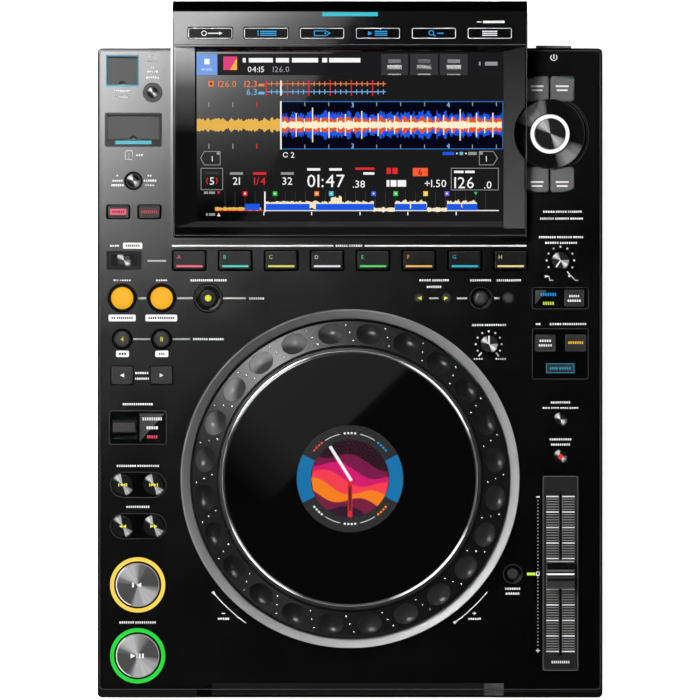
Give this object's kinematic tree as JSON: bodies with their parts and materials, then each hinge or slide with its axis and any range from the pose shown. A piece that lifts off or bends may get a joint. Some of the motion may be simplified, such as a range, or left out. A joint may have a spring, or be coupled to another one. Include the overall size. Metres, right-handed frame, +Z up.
{
  "type": "tabletop dj media player",
  "caption": "Flat black tabletop deck with a raised sloping screen, a large dimpled jog wheel, a tempo fader, backlit pads, round transport keys and a push-and-turn selector.",
  "frame": {"origin": "centre of the overall footprint, on the surface that the feet stand on", "axes": "+Z up, +Y to the rear panel, +X to the tempo fader's side"},
  "size_m": [0.329, 0.453, 0.1178],
  "materials": {
    "body_black": "satin black with fine brushing",
    "tray_black": "black powder coat",
    "rubber": "matte",
    "steel": "zinc plated",
    "board": "green circuit board",
    "panel": "black powder coat",
    "socket": "black moulding",
    "silver": "satin",
    "platter": "black chrome",
    "gloss_black": "gloss",
    "clear": "clear tinted",
    "screen": "display",
    "light": "diffusing light guide",
    "key_grey": "satin dark grey",
    "pad": "backlit pad",
    "amber": "backlit amber",
    "transport": "radial brushed",
    "chrome_key": "black chrome",
    "bezel": "gloss black",
    "post": "turned"
  },
  "bodies": {
    "case": {"top_case": "body_black", "base_tray": "tray_black", "rubber_feet": "rubber", "case_screws": "steel", "control_boards": "board", "media_sockets": "socket", "rear_panel": "panel", "rear_jacks": "socket", "mains_inlet": "socket", "main_board": "board", "power_supply": "board", "jog_surround_ring": "silver", "jog_bearing_post": "post", "jog_display": "screen", "screen_housing": "body_black", "screen_glass": "clear", "lcd_module": "screen", "light_guides": "light", "transport_light_rings": "light", "button_bezels": "bezel", "legend_plates": "bezel", "fader_unit": "socket"},
    "jog_wheel": {"jog_platter": "platter", "jog_encoder_disc": "steel", "jog_trim_ring": "silver", "jog_top_plate": "clear"},
    "usb_cover": {"usb_cover": "gloss_black"},
    "sd_cover": {"sd_cover": "gloss_black"},
    "power_button": {"power_button": "key_grey"},
    "menu_keys": {"menu_keys": "gloss_black"},
    "tempo_slider": {"tempo_slider": "key_grey"},
    "direction_lever": {"direction_lever": "key_grey"},
    "speed_knob": {"speed_knob": "key_grey"},
    "jog_adjust_knob": {"jog_adjust_knob": "key_grey"},
    "selector_shaft": {"selector_shaft": "steel"},
    "selector_knob": {"selector_knob": "platter"},
    "cue_button": {"cue_button": "transport"},
    "play_button": {"play_button": "transport"},
    "loop_in_button": {"loop_in_button": "amber"},
    "loop_out_button": {"loop_out_button": "amber"},
    "reloop_button": {"reloop_button": "key_grey"},
    "beat_keys": {"beat_keys": "key_grey"},
    "search_keys": {"search_keys": "chrome_key"},
    "slip_quantize_keys": {"slip_quantize_keys": "key_grey"},
    "hot_cue_call_button": {"hot_cue_call_button": "silver"},
    "usb_stop_button": {"usb_stop_button": "key_grey"},
    "time_mode_button": {"time_mode_button": "key_grey"},
    "jog_mode_button": {"jog_mode_button": "key_grey"},
    "sync_keys": {"sync_keys": "key_grey"},
    "memory_keys": {"memory_keys": "key_grey"},
    "tempo_keys": {"tempo_keys": "key_grey"},
    "browse_keys": {"browse_keys": "key_grey"},
    "hot_cue_button_1": {"hot_cue_button_1": "pad"},
    "hot_cue_button_2": {"hot_cue_button_2": "pad"},
    "hot_cue_button_3": {"hot_cue_button_3": "pad"},
    "hot_cue_button_4": {"hot_cue_button_4": "pad"},
    "hot_cue_button_5": {"hot_cue_button_5": "pad"},
    "hot_cue_button_6": {"hot_cue_button_6": "pad"},
    "hot_cue_button_7": {"hot_cue_button_7": "pad"},
    "hot_cue_button_8": {"hot_cue_button_8": "pad"}
  },
  "joints": [
    {"name": "jog_spin", "type": "hinge", "parent": "case", "child": "jog_wheel", "pos_m": [0, -0.0837, 0.078], "axis": [0, 0, 1], "continuous": true},
    {"name": "usb_cover_hinge", "type": "hinge", "parent": "case", "child": "usb_cover", "pos_m": [-0.1483, 0.18985, 0.0668], "axis": [-1, 0, 0], "range_deg": [0, 90]},
    {"name": "sd_cover_hinge", "type": "hinge", "parent": "case", "child": "sd_cover", "pos_m": [-0.1411, 0.15195, 0.0668], "axis": [-1, 0, 0], "range_deg": [0, 90]},
    {"name": "power_push", "type": "slide", "parent": "case", "child": "power_button", "axis": [0, -1, 0], "range_m": [0, 0.002], "stiffness_N_per_m": 600, "springref_m": -0.001},
    {"name": "menu_push", "type": "slide", "parent": "case", "child": "menu_keys", "axis": [0, 0.2419, -0.9703], "range_m": [0, 0.001], "stiffness_N_per_m": 600, "springref_m": -0.001},
    {"name": "tempo_fade", "type": "slide", "parent": "case", "child": "tempo_slider", "axis": [0, 1, 0], "range_m": [-0.05, 0.05]},
    {"name": "direction_tilt", "type": "hinge", "parent": "case", "child": "direction_lever", "pos_m": [-0.14695, -0.0505, 0.061], "axis": [1, 0, 0], "range_deg": [-12, 12]},
    {"name": "speed_turn", "type": "hinge", "parent": "case", "child": "speed_knob", "pos_m": [0.1371, 0.0581, 0.07], "axis": [0, 0, 1], "range_deg": [-150, 150]},
    {"name": "jog_adjust_turn", "type": "hinge", "parent": "case", "child": "jog_adjust_knob", "pos_m": [0.0907, 0.0038, 0.07], "axis": [0, 0, 1], "range_deg": [-150, 150]},
    {"name": "selector_push", "type": "slide", "parent": "case", "child": "selector_shaft", "axis": [0, 0, -1], "range_m": [0, 0.001], "stiffness_N_per_m": 600, "springref_m": -0.001},
    {"name": "selector_turn", "type": "hinge", "parent": "selector_shaft", "child": "selector_knob", "pos_m": [0.1302, 0.1406, 0.08], "axis": [0, 0, 1], "continuous": true},
    {"name": "cue_push", "type": "slide", "parent": "case", "child": "cue_button", "axis": [0, 0, -1], "range_m": [0, 0.0015], "stiffness_N_per_m": 600, "springref_m": -0.001},
    {"name": "play_push", "type": "slide", "parent": "case", "child": "play_button", "axis": [0, 0, -1], "range_m": [0, 0.0015], "stiffness_N_per_m": 600, "springref_m": -0.001},
    {"name": "loop_in_push", "type": "slide", "parent": "case", "child": "loop_in_button", "axis": [0, 0, -1], "range_m": [0, 0.001], "stiffness_N_per_m": 400, "springref_m": -0.001},
    {"name": "loop_out_push", "type": "slide", "parent": "case", "child": "loop_out_button", "axis": [0, 0, -1], "range_m": [0, 0.001], "stiffness_N_per_m": 400, "springref_m": -0.001},
    {"name": "reloop_push", "type": "slide", "parent": "case", "child": "reloop_button", "axis": [0, 0, -1], "range_m": [0, 0.001], "stiffness_N_per_m": 400, "springref_m": -0.001},
    {"name": "beat_push", "type": "slide", "parent": "case", "child": "beat_keys", "axis": [0, 0, -1], "range_m": [0, 0.001], "stiffness_N_per_m": 600, "springref_m": -0.001},
    {"name": "search_push", "type": "slide", "parent": "case", "child": "search_keys", "axis": [0, 0, -1], "range_m": [0, 0.001], "stiffness_N_per_m": 600, "springref_m": -0.001},
    {"name": "slip_quantize_push", "type": "slide", "parent": "case", "child": "slip_quantize_keys", "axis": [0, 0, -1], "range_m": [0, 0.001], "stiffness_N_per_m": 400, "springref_m": -0.001},
    {"name": "hot_cue_call_push", "type": "slide", "parent": "case", "child": "hot_cue_call_button", "axis": [0, 0, -1], "range_m": [0, 0.001], "stiffness_N_per_m": 400, "springref_m": -0.001},
    {"name": "usb_stop_push", "type": "slide", "parent": "case", "child": "usb_stop_button", "axis": [0, 0, -1], "range_m": [0, 0.001], "stiffness_N_per_m": 400, "springref_m": -0.001},
    {"name": "time_mode_push", "type": "slide", "parent": "case", "child": "time_mode_button", "axis": [0, 0, -1], "range_m": [0, 0.001], "stiffness_N_per_m": 400, "springref_m": -0.001},
    {"name": "jog_mode_push", "type": "slide", "parent": "case", "child": "jog_mode_button", "axis": [0, 0, -1], "range_m": [0, 0.001], "stiffness_N_per_m": 400, "springref_m": -0.001},
    {"name": "sync_push", "type": "slide", "parent": "case", "child": "sync_keys", "axis": [0, 0, -1], "range_m": [0, 0.001], "stiffness_N_per_m": 600, "springref_m": -0.001},
    {"name": "memory_push", "type": "slide", "parent": "case", "child": "memory_keys", "axis": [0, 0, -1], "range_m": [0, 0.001], "stiffness_N_per_m": 400, "springref_m": -0.001},
    {"name": "tempo_push", "type": "slide", "parent": "case", "child": "tempo_keys", "axis": [0, 0, -1], "range_m": [0, 0.001], "stiffness_N_per_m": 400, "springref_m": -0.001},
    {"name": "browse_push", "type": "slide", "parent": "case", "child": "browse_keys", "axis": [0, 0, -1], "range_m": [0, 0.001], "stiffness_N_per_m": 600, "springref_m": -0.001},
    {"name": "hot_cue_1_push", "type": "slide", "parent": "case", "child": "hot_cue_button_1", "axis": [0, 0, -1], "range_m": [0, 0.0015], "stiffness_N_per_m": 400, "springref_m": -0.001},
    {"name": "hot_cue_2_push", "type": "slide", "parent": "case", "child": "hot_cue_button_2", "axis": [0, 0, -1], "range_m": [0, 0.0015], "stiffness_N_per_m": 400, "springref_m": -0.001},
    {"name": "hot_cue_3_push", "type": "slide", "parent": "case", "child": "hot_cue_button_3", "axis": [0, 0, -1], "range_m": [0, 0.0015], "stiffness_N_per_m": 400, "springref_m": -0.001},
    {"name": "hot_cue_4_push", "type": "slide", "parent": "case", "child": "hot_cue_button_4", "axis": [0, 0, -1], "range_m": [0, 0.0015], "stiffness_N_per_m": 400, "springref_m": -0.001},
    {"name": "hot_cue_5_push", "type": "slide", "parent": "case", "child": "hot_cue_button_5", "axis": [0, 0, -1], "range_m": [0, 0.0015], "stiffness_N_per_m": 400, "springref_m": -0.001},
    {"name": "hot_cue_6_push", "type": "slide", "parent": "case", "child": "hot_cue_button_6", "axis": [0, 0, -1], "range_m": [0, 0.0015], "stiffness_N_per_m": 400, "springref_m": -0.001},
    {"name": "hot_cue_7_push", "type": "slide", "parent": "case", "child": "hot_cue_button_7", "axis": [0, 0, -1], "range_m": [0, 0.0015], "stiffness_N_per_m": 400, "springref_m": -0.001},
    {"name": "hot_cue_8_push", "type": "slide", "parent": "case", "child": "hot_cue_button_8", "axis": [0, 0, -1], "range_m": [0, 0.0015], "stiffness_N_per_m": 400, "springref_m": -0.001}
  ]
}
